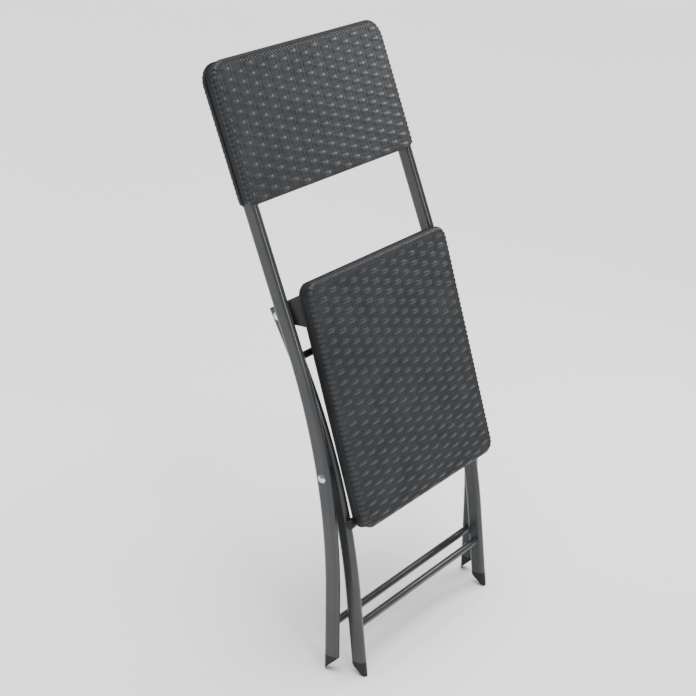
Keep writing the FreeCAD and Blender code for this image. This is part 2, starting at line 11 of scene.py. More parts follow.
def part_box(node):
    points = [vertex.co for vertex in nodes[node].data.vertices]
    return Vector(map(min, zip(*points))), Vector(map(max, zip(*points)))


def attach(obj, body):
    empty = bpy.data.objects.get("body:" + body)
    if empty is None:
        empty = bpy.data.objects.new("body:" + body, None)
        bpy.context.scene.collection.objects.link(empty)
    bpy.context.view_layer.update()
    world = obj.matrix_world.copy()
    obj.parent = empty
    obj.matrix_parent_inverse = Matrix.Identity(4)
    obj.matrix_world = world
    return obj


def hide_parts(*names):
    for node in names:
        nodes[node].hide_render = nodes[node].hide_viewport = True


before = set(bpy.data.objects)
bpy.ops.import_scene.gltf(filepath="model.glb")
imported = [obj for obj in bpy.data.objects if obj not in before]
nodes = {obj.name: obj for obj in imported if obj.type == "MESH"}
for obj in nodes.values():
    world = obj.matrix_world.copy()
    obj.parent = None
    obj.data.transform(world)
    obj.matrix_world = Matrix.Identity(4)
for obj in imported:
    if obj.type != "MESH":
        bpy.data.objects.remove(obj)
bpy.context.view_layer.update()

# ---------------------------------------------------------------- legs and crossbars
# Flat-oval mild steel tube, bent cold and cut to length, with a thin round crossbar welded
# between each pair. The finished frame is powder-coated in one go: a satin mid grey skin that
# is slightly pebbled close up, and catches a long soft highlight down each rounded edge.

MM = 0.001
MIDDLE_TONES = (0.35, 0.65)     # the stretch of a noise that runs from one tone to the other
NOISE_SPAN = (0.3, 0.7)         # where most of a noise's values lie
PEEL_SIZE = 0.9 * MM
PEEL_HEIGHT = 0.03 * MM
PEEL_STRENGTH = 0.35


def linear(code):
    """An sRGB hex colour as linear red, green, blue and alpha, by the sRGB standard's curve."""
    parts = [int(code[k:k + 2], 16) / 255 for k in (1, 3, 5)]
    return [c / 12.92 if c <= 0.04045 else ((c + 0.055) / 1.055) ** 2.4 for c in parts] + [1.0]


def add(tree, kind, *inputs, **settings):
    """Add a node, set its properties, then fill its inputs in order with values or links."""
    made = tree.nodes.new(kind)
    for name, value in settings.items():
        setattr(made, name, value)
    for socket, value in zip(made.inputs, inputs):
        if isinstance(value, bpy.types.NodeSocket):
            tree.links.new(value, socket)
        elif value is not None:
            socket.default_value = value
    return made


def finish_material(name, **values):
    """New material with constant values set on its shader; returns it, its tree and shader."""
    material = bpy.data.materials.new(name)
    material.use_nodes = True
    tree = material.node_tree
    shader = tree.nodes["Principled BSDF"]
    for socket, value in values.items():
        shader.inputs[socket.replace("_", " ")].default_value = value
    return material, tree, shader


def grain(tree, size):
    """Noise on Object coordinates whose spots are about a given size across, in metres."""
    place = add(tree, "ShaderNodeTexCoord")
    noise = add(tree, "ShaderNodeTexNoise")
    tree.links.new(place.outputs["Object"], noise.inputs["Vector"])
    noise.inputs["Scale"].default_value = 1 / size
    noise.inputs["Detail"].default_value = 3.0
    return noise.outputs["Fac"]


def two_tones(tree, shader, factor, dark, light, spread=MIDDLE_TONES):
    """Colour the shader between two tones, over a stretch of the factor's values."""
    ramp = add(tree, "ShaderNodeValToRGB", factor)
    for stop, position, colour in zip(ramp.color_ramp.elements, spread, (dark, light)):
        stop.position = position
        stop.color = linear(colour)
    tree.links.new(ramp.outputs["Color"], shader.inputs["Base Color"])


def rough_between(tree, shader, factor, first, last):
    """Vary the shader's roughness from one value to another as the factor rises."""
    spread = add(tree, "ShaderNodeMapRange", factor, *NOISE_SPAN, first, last)
    tree.links.new(spread.outputs["Result"], shader.inputs["Roughness"])


def pebbled(tree, shader, factor, height, strength):
    """Raise a fine texture on the shader, of a real height in metres."""
    bump = add(tree, "ShaderNodeBump")
    bump.inputs["Strength"].default_value = strength
    bump.inputs["Distance"].default_value = height
    tree.links.new(factor, bump.inputs["Height"])
    tree.links.new(bump.outputs["Normal"], shader.inputs["Normal"])


def satin_powder_coat():
    """Polyester powder coat over steel: orange-peel skin, soft even sheen."""
    material, tree, shader = finish_material(
        "satin_grey_powder_coat", IOR=1.5, Specular_IOR_Level=0.4, Coat_Weight=0.12,
        Coat_Roughness=0.2)
    shade = grain(tree, 60 * MM)
    peel = grain(tree, PEEL_SIZE)
    two_tones(tree, shader, shade, "#2a2c2e", "#323436")
    rough_between(tree, shader, peel, 0.28, 0.36)
    pebbled(tree, shader, peel, PEEL_HEIGHT, PEEL_STRENGTH)
    return material


def coat(node, material):
    """Give a CAD node one material."""
    slots = nodes[node].data.materials
    slots.clear()
    slots.append(material)


grey_coat = satin_powder_coat()
for part in ("front_leg_left", "front_leg_right", "rear_leg_left", "rear_leg_right",
             "front_crossbar", "rear_crossbar"):
    coat(part, grey_coat)

# ---------------------------------------------------------------- crossbar welds
# Each crossbar end is MIG welded all round to the inner face of its leg: a low bead of
# overlapping ripples, coated over with the frame.

WELD_RIPPLES = 30                   # round each crossbar end
WELD_RADIUS = 1.5 * MM
WELD_OFFSET = WELD_RADIUS * 0.4     # from the leg's face to the middle of a ripple
RIPPLE_SUBDIVISIONS = 2


def linked(name, data):
    """New object in the scene, of a mesh, a light or a camera."""
    made = bpy.data.objects.new(name, data)
    bpy.context.scene.collection.objects.link(made)
    return made


def baked(source, name, body, replaces=()):
    """Plain mesh piece from an object with live modifiers, riding on a body."""
    seen = source.evaluated_get(bpy.context.evaluated_depsgraph_get())
    mesh = bpy.data.meshes.new_from_object(seen)
    bpy.data.objects.remove(source)
    piece = linked(name, mesh)
    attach(piece, body)
    if replaces:
        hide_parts(*replaces)
    return piece


def node_group(name, **sockets):
    """Empty geometry tree with named inputs; returns it with its input and output nodes."""
    tree = bpy.data.node_groups.new(name, "GeometryNodeTree")
    tree.interface.new_socket("Geometry", in_out="INPUT", socket_type="NodeSocketGeometry")
    for label, kind in sockets.items():
        tree.interface.new_socket(label.replace("_", " "), in_out="INPUT",
                                  socket_type="NodeSocket" + kind)
    tree.interface.new_socket("Geometry", in_out="OUTPUT", socket_type="NodeSocketGeometry")
    return tree, tree.nodes.new("NodeGroupInput"), tree.nodes.new("NodeGroupOutput")


def run_tree(source, tree, **values):
    """Put a geometry tree on an object and set its inputs by their identifiers."""
    modifier = source.modifiers.new(tree.name, "NODES")
    modifier.node_group = tree
    for item in tree.interface.items_tree:
        label = item.name.replace(" ", "_")
        if item.in_out == "INPUT" and label in values:
            modifier[item.identifier] = values[label]


def points_object(name, points):
    """Loose points for a geometry tree to work on."""
    mesh = bpy.data.meshes.new(name)
    mesh.from_pydata([tuple(p) for p in points], [], [])
    return linked(name, mesh)


def weld_tree():
    """A round ripple at each point."""
    tree, given, out = node_group("weld_bead", Ripple_radius="Float", Material="Material")
    ripple = add(tree, "GeometryNodeMeshIcoSphere", given.outputs["Ripple radius"],
                 RIPPLE_SUBDIVISIONS)
    placed = add(tree, "GeometryNodeInstanceOnPoints")
    tree.links.new(given.outputs["Geometry"], placed.inputs["Points"])
    tree.links.new(ripple.outputs["Mesh"], placed.inputs["Instance"])
    real = add(tree, "GeometryNodeRealizeInstances", placed.outputs["Instances"])
    smooth = add(tree, "GeometryNodeSetShadeSmooth", real.outputs["Geometry"])
    painted = add(tree, "GeometryNodeSetMaterial", smooth.outputs["Geometry"])
    tree.links.new(given.outputs["Material"], painted.inputs["Material"])
    tree.links.new(painted.outputs["Geometry"], out.inputs["Geometry"])
    return tree


weld_bead = weld_tree()
for bar, body in (("front_crossbar", "front_frame"), ("rear_crossbar", "rear_frame")):
    low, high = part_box(bar)
    middle = (low + high) / 2
    radius = (high.z - low.z) / 2
    ring = []
    for x in (low.x, high.x):
        inward = WELD_OFFSET * (1 if x < 0 else -1)
        for k in range(WELD_RIPPLES):
            angle = math.tau * k / WELD_RIPPLES
            ring.append((x + inward, middle.y + radius * math.cos(angle),
                         middle.z + radius * math.sin(angle)))
    welds = points_object(bar + "_weld_points", ring)
    run_tree(welds, weld_bead, Ripple_radius=WELD_RADIUS, Material=grey_coat)
    baked(welds, bar + "_welds", body)

# ---------------------------------------------------------------- feet and tube plugs
# Injection-moulded polyethylene, pushed into the open tube ends: four feet, the plugs in the
# rear legs' tops and the caps of the rest tube. Near black, with a dull sheen and a fine
# spark-eroded texture from the mould.

SIDES = ("left", "right")
MOULD_TEXTURE_HEIGHT = 0.04 * MM


def moulded_polyethylene():
    """Moulded polyethylene: near black, with a fine dull texture all over."""
    material, tree, shader = finish_material(
        "black_moulded_polyethylene", IOR=1.5, Specular_IOR_Level=0.3)
    speck = grain(tree, 0.6 * MM)
    shade = grain(tree, 18 * MM)
    two_tones(tree, shader, shade, "#0d0e0f", "#151617")
    rough_between(tree, shader, speck, 0.42, 0.56)
    pebbled(tree, shader, speck, MOULD_TEXTURE_HEIGHT, 0.4)
    return material


black_moulding = moulded_polyethylene()
for side in SIDES:
    for part in ("front_foot_", "rear_foot_", "rear_leg_plug_", "rest_tube_cap_"):
        coat(part + side, black_moulding)

# ---------------------------------------------------------------- scissor and seat pivots
# Solid steel rivets, bright zinc plated, with domed heads set by a hammer tool. Nylon spacers
# and washers keep the moving tubes apart, and nylon sleeves run in the seat rails' slots.


def bright_zinc():
    """Electroplated zinc: a pale metal with faint cloudy streaks from the bath."""
    material, tree, shader = finish_material("bright_zinc_plate", Metallic=1.0)
    cloud = grain(tree, 3 * MM)
    two_tones(tree, shader, cloud, "#b9bcbf", "#dadcde")
    rough_between(tree, shader, cloud, 0.20, 0.34)
    return material


def nylon():
    """Moulded nylon: near black, smooth and a little waxy."""
    material, tree, shader = finish_material("black_nylon", IOR=1.53)
    cloud = grain(tree, 4 * MM)
    two_tones(tree, shader, cloud, "#1b1b1c", "#262728")
    rough_between(tree, shader, cloud, 0.34, 0.44)
    return material


zinc = bright_zinc()
black_nylon = nylon()
for side in SIDES:
    coat("scissor_rivet_" + side, zinc)
    coat("seat_pivot_rivet_" + side, zinc)
    for part in ("scissor_spacer_", "seat_pivot_washer_", "guide_sleeve_"):
        coat(part + side, black_nylon)

# ---------------------------------------------------------------- rails, brackets and bars
# Pressed 3 mm steel angle and ears, and plain round bar, under the seat. They are coated black
# before assembly, by the same process as the frame.


def black_powder_coat():
    """Polyester powder coat over steel, in black: the same skin, a little duller."""
    material, tree, shader = finish_material(
        "satin_black_powder_coat", IOR=1.5, Specular_IOR_Level=0.35, Coat_Weight=0.1,
        Coat_Roughness=0.3)
    shade = grain(tree, 40 * MM)
    peel = grain(tree, PEEL_SIZE)
    two_tones(tree, shader, shade, "#121314", "#1a1b1c")
    rough_between(tree, shader, peel, 0.34, 0.46)
    pebbled(tree, shader, peel, PEEL_HEIGHT, PEEL_STRENGTH)
    return material


black_coat = black_powder_coat()
for part in ("seat_rail_left", "seat_rail_right", "seat_bracket_left", "seat_bracket_right",
             "guide_rod", "seat_rest_tube"):
    coat(part, black_coat)

# ---------------------------------------------------------------- screws
# Pan-head self-tapping screws with a cross recess, blackened. Four go through the backrest
# into the uprights, and ten hold the rails and brackets to the seat.

SCREW_HEAD_RADIUS = 5.0 * MM
SCREW_HEAD_HEIGHT = 2.4 * MM
SCREW_SHANK_RADIUS = 2.5 * MM
SCREW_SHANK_LENGTH = 16.0 * MM
SCREW_POINT_FROM = 0.8              # share of the shank's length at which its point begins
SCREW_SIDES = 32
HEAD_STEPS = 8
HEAD_FULLNESS = (0.8, 0.7)          # powers below 1 fill out the dome, sideways and upwards
HEAD_SHARP = math.radians(35)       # edges that turn by more than this look sharp
RECESS_ARM = 2.6 * MM               # half the length of the cross
RECESS_WIDTH = 0.9 * MM             # half the width of its arms
RECESS_DEPTH = 1.5 * MM
SAME_POINT = 0.02 * MM              # points of the outline nearer than this are one
SAME_CAD_POINT = 0.01 * MM
REARWARD = 0.5                      # a face whose normal's Y is above this looks rearwards


def blackened_steel():
    """Black zinc: thin dark film, with bare metal showing faintly through."""
    material, tree, shader = finish_material("black_zinc_steel", Metallic=0.85)
    cloud = grain(tree, 1.5 * MM)
    two_tones(tree, shader, cloud, "#2c2d2f", "#45474a")
    rough_between(tree, shader, cloud, 0.32, 0.48)
    return material


def screw_shape():
    """One screw along Z, its head's underside at the origin, pointing down into the work."""
    head = bmesh.new()
    outward, upward = HEAD_FULLNESS
    outline = [(0.0, SCREW_HEAD_HEIGHT)]
    for k in range(1, HEAD_STEPS + 1):
        angle = math.pi / 2 * k / HEAD_STEPS
        outline.append((SCREW_HEAD_RADIUS * math.sin(angle) ** outward,
                        SCREW_HEAD_HEIGHT * math.cos(angle) ** upward))
    outline += [(SCREW_SHANK_RADIUS, 0.0),
                (SCREW_SHANK_RADIUS, -SCREW_SHANK_LENGTH * SCREW_POINT_FROM),
                (0.0, -SCREW_SHANK_LENGTH)]
    chain = [head.verts.new((r, 0, z)) for r, z in outline]
    edges = [head.edges.new(pair) for pair in zip(chain, chain[1:])]
    bmesh.ops.spin(head, geom=chain + edges, axis=(0, 0, 1), cent=(0, 0, 0), steps=SCREW_SIDES,
                   angle=math.tau, use_duplicate=False)
    bmesh.ops.remove_doubles(head, verts=head.verts[:], dist=SAME_POINT)
    bmesh.ops.recalc_face_normals(head, faces=head.faces[:])
    mesh = bpy.data.meshes.new("screw")
    head.to_mesh(mesh)
    head.free()
    screw = linked("screw", mesh)
    cutters = []
    for half_x, half_y in ((RECESS_ARM, RECESS_WIDTH), (RECESS_WIDTH, RECESS_ARM)):
        cut = bmesh.new()
        size = Vector((2 * half_x, 2 * half_y, 2 * RECESS_DEPTH))
        bmesh.ops.create_cube(cut, size=1.0, matrix=Matrix.LocRotScale(
            Vector((0, 0, SCREW_HEAD_HEIGHT)), None, size))
        cut_mesh = bpy.data.meshes.new("recess")
        cut.to_mesh(cut_mesh)
        cut.free()
        cutter = linked("recess", cut_mesh)
        hollow = screw.modifiers.new("recess", "BOOLEAN")
        hollow.operation = "DIFFERENCE"
        hollow.solver = "EXACT"
        hollow.object = cutter
        cutters.append(cutter)
    seen = screw.evaluated_get(bpy.context.evaluated_depsgraph_get())
    shape = bpy.data.meshes.new_from_object(seen)
    for extra in cutters + [screw]:
        bpy.data.objects.remove(extra)
    shape.set_sharp_from_angle(angle=HEAD_SHARP)
    return shape


def islands(node):
    """Corner points of each separate solid in a CAD node."""
    copy = bmesh.new()
    copy.from_mesh(nodes[node].data)
    bmesh.ops.remove_doubles(copy, verts=copy.verts[:], dist=SAME_CAD_POINT)
    reached = set()
    found = []
    for start in copy.verts:
        if start in reached:
            continue
        reached.add(start)
        front = [start]
        group = []
        while front:
            vert = front.pop()
            group.append(vert.co.copy())
            for edge in vert.link_edges:
                other = edge.other_vert(vert)
                if other not in reached:
                    reached.add(other)
                    front.append(other)
        found.append(group)
    copy.free()
    return found


def screw_tree(shape):
    """A screw at each point, turned to drive along a direction."""
    tree, given, out = node_group("driven_screws", Turn="Rotation", Material="Material")
    holder = bpy.data.objects.new("screw_shape", shape)
    info = add(tree, "GeometryNodeObjectInfo", holder)
    placed = add(tree, "GeometryNodeInstanceOnPoints")
    tree.links.new(given.outputs["Geometry"], placed.inputs["Points"])
    tree.links.new(info.outputs["Geometry"], placed.inputs["Instance"])
    tree.links.new(given.outputs["Turn"], placed.inputs["Rotation"])
    real = add(tree, "GeometryNodeRealizeInstances", placed.outputs["Instances"])
    painted = add(tree, "GeometryNodeSetMaterial", real.outputs["Geometry"])
    tree.links.new(given.outputs["Material"], painted.inputs["Material"])
    tree.links.new(painted.outputs["Geometry"], out.inputs["Geometry"])
    return tree, holder


def facing(node):
    """Rearward normal of a panel's broad face, from the areas of its triangles."""
    areas = {}
    for face in nodes[node].data.polygons:
        if face.normal.y > REARWARD:
            key = tuple(round(c, 3) for c in face.normal)
            areas[key] = areas.get(key, 0.0) + face.area
    return Vector(max(areas, key=areas.get)).normalized()


def place_screws(node, name, body, heads_at, drive):
    """Screws where the CAD node's solids are, heads towards heads_at; returns their places."""
    middles = []
    for group in islands(node):
        far = max(p.dot(heads_at) for p in group)
        middle = sum(group, Vector()) / len(group)
        middles.append(middle + heads_at * (far - SCREW_HEAD_HEIGHT - middle.dot(heads_at)))
    source = points_object(name + "_points", middles)
    turn = Vector((0, 0, 1)).rotation_difference(heads_at).to_euler()
    run_tree(source, drive, Turn=turn, Material=black_zinc)
    baked(source, name, body, [node])
    return middles


black_zinc = blackened_steel()
back_out = facing("backrest_panel")
seat_out = facing("seat_panel")
drive_screws, screw_holder = screw_tree(screw_shape())
back_screw_points = place_screws("backrest_screws", "backrest_screw_set", "front_frame",
                                 -back_out, drive_screws)
place_screws("seat_screws", "seat_screw_set", "seat", -seat_out, drive_screws)
bpy.data.objects.remove(screw_holder)

# ---------------------------------------------------------------- moulded panels
# Seat and backrest are blow-moulded polyethylene in a rattan pattern: flat strands 8.3 mm wide
# go over and under broad uprights 27 mm apart, with a thin cane between them, and short strands
# wrap the sides and the top. It is all one skin, with crowns a little polished and gaps dull;
# the crowns are painted lighter as sheen and the gaps darker as shade.

COLUMN_PITCH = 27.0 * MM
ROW_PITCH = 8.3 * MM
END_PITCH = COLUMN_PITCH / 4        # between the short strands over the top
RELIEF = 1.6 * MM                   # height of a full strand
STEPS_PER_ROW = 5
CLOSEST_LINE = 0.3                  # share of a step that the last whole step keeps from the end
ROLL = 6.0 * MM                     # radius of the edge between a face and the rim
WRAP_BLEND = 2.5 * MM               # over which the face's strands give way to the short ones
TOP_WRAP = 6.0 * MM                 # how far the short strands reach on to the face at the top
RIM_FADE = 1.2 * MM                 # over which the pattern runs out at its border
LOWER_FADE = 3.5 * MM               # and over which it runs out round the plain lower edge
FAR_WRAP_LOSS = 0.5                 # share of height that short strands lose on the half behind
PANEL_SHARP = math.radians(55)      # edges that turn by more than this look sharp

# A strand's half width, as a share of its pitch, and the power that rounds its crown.
OVER_ACROSS, OVER_UP = (0.44, 2.8), (0.48, 3.0)
UNDER_ACROSS, UNDER_UP = (0.40, 4.0), (0.50, 2.0)
CANE_ACROSS = (0.075, 2.0)
SHORT_STRAND = (0.44, 2.2)
# Heights as shares of a strand that passes over.
UNDER_HEIGHT = 0.16
CANE_HEIGHT = 0.40
SHORT_HEIGHT = 0.85

NEVER_ZERO = 1e-9                   # a length to divide by
TIE_BREAK = 1e-12                   # counts a corner's exact diagonal with the sides


def panel_place(node, out):
    """Centre, upward direction and size (width, height, thickness) of a leaning panel."""
    up = Vector((0, -out.z, out.y))
    axes = np.array([(1, 0, 0), tuple(up), tuple(out)])
    co = np.array([tuple(v.co) for v in nodes[node].data.vertices]) @ axes.T
    low, high = co.min(0), co.max(0)
    return Vector(axes.T @ ((low + high) / 2)), up, high - low


def lines_to(half, step):
    """Grid lines at whole steps either side of 0, closed off at the two ends."""
    count = int(half / step - CLOSEST_LINE)
    return np.array([-half] + [k * step for k in range(-count, count + 1)] + [half])


def rolled_skin(size, radii, rim, steps):
    """Half of a panel's skin: flat, rolled over a rounded edge, then down the rim.

    radii are the corner radii (bottom, top), rim is the straight length down the side, and
    steps is the number of grid steps in a column. Returns the place and the weave attributes
    of each grid point, and the grid's shape.
    """
    half_w = size[0] / 2 - ROLL
    half_h = size[1] / 2 - ROLL
    quarter = ROLL * math.pi / 2
    reach = quarter + rim
    p, q = np.meshgrid(lines_to(half_w + reach, COLUMN_PITCH / steps),
                       lines_to(half_h + reach, ROW_PITCH / STEPS_PER_ROW))
    corner = np.where(q > 0, radii[1], radii[0]) - ROLL
    in_x = np.minimum(np.abs(p), half_w - corner) * np.sign(p)
    in_z = np.minimum(np.abs(q), half_h - corner) * np.sign(q)
    dx = p - in_x
    dz = q - in_z
    far = np.maximum(np.abs(dx), np.abs(dz))
    length = np.maximum(np.hypot(dx, dz), NEVER_ZERO)
    ex, ez = dx / length, dz / length
    edge = far - corner
    past = np.clip(edge, 0, None)
    bend = np.minimum(past / ROLL, math.pi / 2)
    planar = np.minimum(far, corner) + ROLL * np.sin(bend)
    drop = ROLL * (1 - np.cos(bend)) + np.clip(past - quarter, 0, None)
    turn = np.arctan2(np.abs(dz), np.abs(dx) + TIE_BREAK)
    arc = corner + ROLL
    by_side = (np.abs(in_z) + turn * arc) / ROW_PITCH
    by_end = ((np.abs(in_x) + (math.pi / 2 - turn) * arc) * np.sign(p) - edge) / END_PITCH
    beads = np.where(turn < math.pi / 4, by_side, by_end)
    upper_edge = (q > 0) & (turn > math.pi / 4)
    lower_edge = (q < 0) & (turn > math.pi / 4)
    wrap = np.clip((edge + np.where(upper_edge, TOP_WRAP, 0)) / WRAP_BLEND, 0, 1)
    wrap = np.where(lower_edge, 0, wrap)
    raised = np.where(lower_edge, 1 - past / LOWER_FADE, (reach - past) / RIM_FADE).clip(0, 1)
    return {
        "x": in_x + ex * planar, "z": in_z + ez * planar, "drop": drop, "ex": ex, "ez": ez,
        "across": in_x + ex * far, "up": in_z + ez * far, "beads": beads, "wrap": wrap,
        "raised": raised,
    }, p.shape


def ring_of(shape):
    """Indices of a grid's outer points, in order round it."""
    rows, columns = shape
    ring = [(0, c) for c in range(columns)] + [(r, columns - 1) for r in range(1, rows)]
    ring += [(rows - 1, c) for c in range(columns - 2, -1, -1)]
    ring += [(r, 0) for r in range(rows - 2, 0, -1)]
    return np.array([r * columns + c for r, c in ring])


def panel_mesh(name, size, radii, rim, recess, back_woven, steps):
    """Closed skin in the panel's own axes (X, up, out), with its weave attributes.

    recess is how deep the band between the two halves is sunk, and back_woven says whether
    the pattern is on the half that faces away from out.
    """
    skin, shape = rolled_skin(size, radii, rim, steps)
    flat = {key: value.ravel() for key, value in skin.items()}
    count = flat["x"].size
    ring = ring_of(shape)
    half = size[2] / 2
    face = np.stack([flat["x"], flat["z"], half - flat["drop"]], 1)
    back = face * (1, 1, -1)
    inner = face[ring] - np.stack([flat["ex"][ring], flat["ez"][ring], 0 * ring], 1) * recess
    verts = np.concatenate([face, back, inner, inner * (1, 1, -1)])
    rows, columns = shape
    corner = (np.arange(rows - 1)[:, None] * columns + np.arange(columns - 1)).ravel()
    quads = np.stack([corner, corner + 1, corner + columns + 1, corner + columns], 1)
    strips = [ring, 2 * count + np.arange(len(ring)),
              2 * count + len(ring) + np.arange(len(ring)), ring + count]
    faces = [quads, quads[:, ::-1] + count]
    for upper, lower in zip(strips, strips[1:]):
        faces.append(np.stack([upper, lower, np.roll(lower, -1), np.roll(upper, -1)], 1))
    mesh = bpy.data.meshes.new(name)
    mesh.from_pydata(verts.tolist(), [], np.concatenate(faces).tolist())
    rim_count = 2 * len(ring)
    for key in ("across", "up", "beads", "wrap", "raised"):
        behind = flat[key]
        if key == "raised":
            behind = behind * (1 - FAR_WRAP_LOSS * flat["wrap"]) * back_woven
        values = np.concatenate([flat[key], behind, np.zeros(rim_count)])
        mesh.attributes.new(key, "FLOAT", "POINT").data.foreach_set("value", values)
    return mesh


def weave_tree():
    """Raise the rattan pattern out of a smooth panel, along its normals."""
    tree, given, out = node_group("rattan_relief", Column_pitch="Float", Row_pitch="Float",
                                  Relief="Float", Material="Material")

    def read(name):
        """A named attribute of the skin's points."""
        named = add(tree, "GeometryNodeInputNamedAttribute", data_type="FLOAT")
        named.inputs["Name"].default_value = name
        return named.outputs["Attribute"]

    def calc(operation, *inputs):
        """The result of one sum."""
        return add(tree, "ShaderNodeMath", *inputs, operation=operation).outputs["Value"]

    def crown(offset, half, power):
        """1 in the middle of a strand, 0 from its edge outwards."""
        share = calc("DIVIDE", calc("ABSOLUTE", offset), half)
        return calc("SUBTRACT", 1.0, calc("MINIMUM", calc("POWER", share, power), 1.0))

    column = calc("DIVIDE", read("across"), given.outputs["Column pitch"])
    row = calc("DIVIDE", read("up"), given.outputs["Row pitch"])
    column_number = calc("ROUND", column)
    row_number = calc("FLOOR", row)
    aside = calc("SUBTRACT", column, column_number)
    above = calc("SUBTRACT", calc("SUBTRACT", row, row_number), 0.5)
    odd = calc("PINGPONG", calc("ADD", column_number, row_number), 1.0)
    over = calc("MULTIPLY", crown(aside, *OVER_ACROSS), crown(above, *OVER_UP))
    over = calc("MULTIPLY", over, calc("SUBTRACT", 1.0, odd))
    under = calc("MULTIPLY", crown(aside, *UNDER_ACROSS), crown(above, *UNDER_UP))
    under = calc("MULTIPLY", calc("MULTIPLY", under, odd), UNDER_HEIGHT)
    to_cane = calc("SUBTRACT", 0.5, calc("ABSOLUTE", aside))
    cane = calc("MULTIPLY", crown(to_cane, *CANE_ACROSS), CANE_HEIGHT)
    woven = calc("MAXIMUM", calc("MAXIMUM", over, under), cane)
    bead_aside = calc("SUBTRACT", calc("FRACT", read("beads")), 0.5)
    wrapped = calc("MULTIPLY", crown(bead_aside, *SHORT_STRAND), SHORT_HEIGHT)
    mixed = add(tree, "ShaderNodeMix", read("wrap"), None, woven, wrapped, data_type="FLOAT")
    height = calc("MULTIPLY", mixed.outputs[0], read("raised"))
    kept = add(tree, "GeometryNodeStoreNamedAttribute", given.outputs["Geometry"],
               data_type="FLOAT", domain="POINT")
    kept.inputs["Name"].default_value = "crown"
    tree.links.new(height, kept.inputs["Value"])
    normal = add(tree, "GeometryNodeInputNormal")
    push = add(tree, "ShaderNodeVectorMath", normal.outputs["Normal"], operation="SCALE")
    tree.links.new(calc("MULTIPLY", height, given.outputs["Relief"]), push.inputs["Scale"])
    moved = add(tree, "GeometryNodeSetPosition", kept.outputs["Geometry"])
    tree.links.new(push.outputs["Vector"], moved.inputs["Offset"])
    real = add(tree, "GeometryNodeRealizeInstances", moved.outputs["Geometry"])
    painted = add(tree, "GeometryNodeSetMaterial", real.outputs["Geometry"])
    tree.links.new(given.outputs["Material"], painted.inputs["Material"])
    tree.links.new(painted.outputs["Geometry"], out.inputs["Geometry"])
    return tree


CROWN_PAINTED_SHEEN = 0.75               # how much a full crown lightens the cloudy tone, as painted sheen
RATTAN_SHADE_AND_SHEEN = (0.35, 1.0)          # tone where a low gap gets painted shade, and where a crown gets its brightest painted sheen


def rattan_polyethylene():
    """Blow-moulded HDPE, charcoal all through: satin crowns, dull gaps, faint cloudiness, and
    painted sheen on the crowns over painted shade in the gaps.
    """
    material, tree, shader = finish_material(
        "charcoal_rattan_hdpe", IOR=1.54, Specular_IOR_Level=0.3)
    crown = add(tree, "ShaderNodeAttribute", attribute_name="crown").outputs["Fac"]
    cloud = grain(tree, 45 * MM)
    # Painted light: strand height lightens the base colour, as painted sheen on the crowns and
    # painted shade in the gaps.
    painted_sheen = add(tree, "ShaderNodeMath", crown, CROWN_PAINTED_SHEEN, operation="MULTIPLY")
    shade = add(tree, "ShaderNodeMath", cloud, painted_sheen.outputs["Value"], operation="ADD")
    two_tones(tree, shader, shade.outputs["Value"], "#131517", "#26282b", RATTAN_SHADE_AND_SHEEN)
    rough_between(tree, shader, crown, 0.60, 0.42)
    fine = grain(tree, 0.7 * MM)
    pebbled(tree, shader, fine, 0.03 * MM, 0.3)
    return material


woven_relief = weave_tree()
rattan_plastic = rattan_polyethylene()


def moulded_panel(node, name, body, out, radii, rim, recess, back_woven, steps, shaped):
    """Build one panel in its own axes, raise its weave, and stand it where its CAD node is.

    out is the way its woven face looks, and shaped is a last change to the smooth skin.
    """
    centre, up, size = panel_place(node, out)
    mesh = panel_mesh(name + "_skin", size, radii, rim, recess, back_woven, steps)
    shaped(mesh, centre, up, size)
    mesh.shade_smooth()
    source = linked(name + "_skin", mesh)
    run_tree(source, woven_relief, Column_pitch=COLUMN_PITCH, Row_pitch=ROW_PITCH,
             Relief=RELIEF, Material=rattan_plastic)
    piece = baked(source, name, body, [node])
    stand = Matrix(((1, 0, 0, centre.x), (0, up.y, out.y, centre.y),
                    (0, up.z, out.z, centre.z), (0, 0, 0, 1)))
    piece.data.transform(stand)
    piece.data.flip_normals()       # because X, up and out are left-handed
    piece.data.set_sharp_from_angle(angle=PANEL_SHARP)


# ---------------------------------------------------------------- backrest
# Woven on both faces. The two halves of the mould leave a smooth sunk band round the rim, and
# the pattern stops short of each screw on the front.

BACK_RADII = (12.0 * MM, 32.0 * MM)
BACK_RIM = 3.0 * MM
BACK_RECESS = 1.6 * MM
BACK_STEPS = 16
SCREW_PAD = 8.0 * MM                # radius that stays smooth round a screw


def points_of(mesh):
    """A mesh's points, one to a row."""
    co = np.zeros(3 * len(mesh.vertices))
    mesh.vertices.foreach_get("co", co)
    return co.reshape(-1, 3)


def clear_of_screws(mesh, centre, up, _size):
    """Leave a smooth round pad under each screw head on the front face."""
    co = points_of(mesh)
    raised = np.zeros(len(co))
    mesh.attributes["raised"].data.foreach_get("value", raised)
    for point in back_screw_points:
        spot = ((point - centre).x, (point - centre).dot(up))
        away = np.hypot(co[:, 0] - spot[0], co[:, 1] - spot[1])
        fade = np.clip((away - SCREW_PAD) / RIM_FADE, 0, 1)
        raised = np.where(co[:, 2] < 0, raised * fade, raised)
    mesh.attributes["raised"].data.foreach_set("value", raised)


moulded_panel("backrest_panel", "backrest_moulding", "front_frame",
              out=back_out, radii=BACK_RADII, rim=BACK_RIM, recess=BACK_RECESS,
              back_woven=True, steps=BACK_STEPS, shaped=clear_of_screws)

# ---------------------------------------------------------------- seat
# Woven on top and over the sides and front edge. The underside is plain, with rows of dimples
# where the mould presses the two skins together, and a groove that the rest tube lies in.

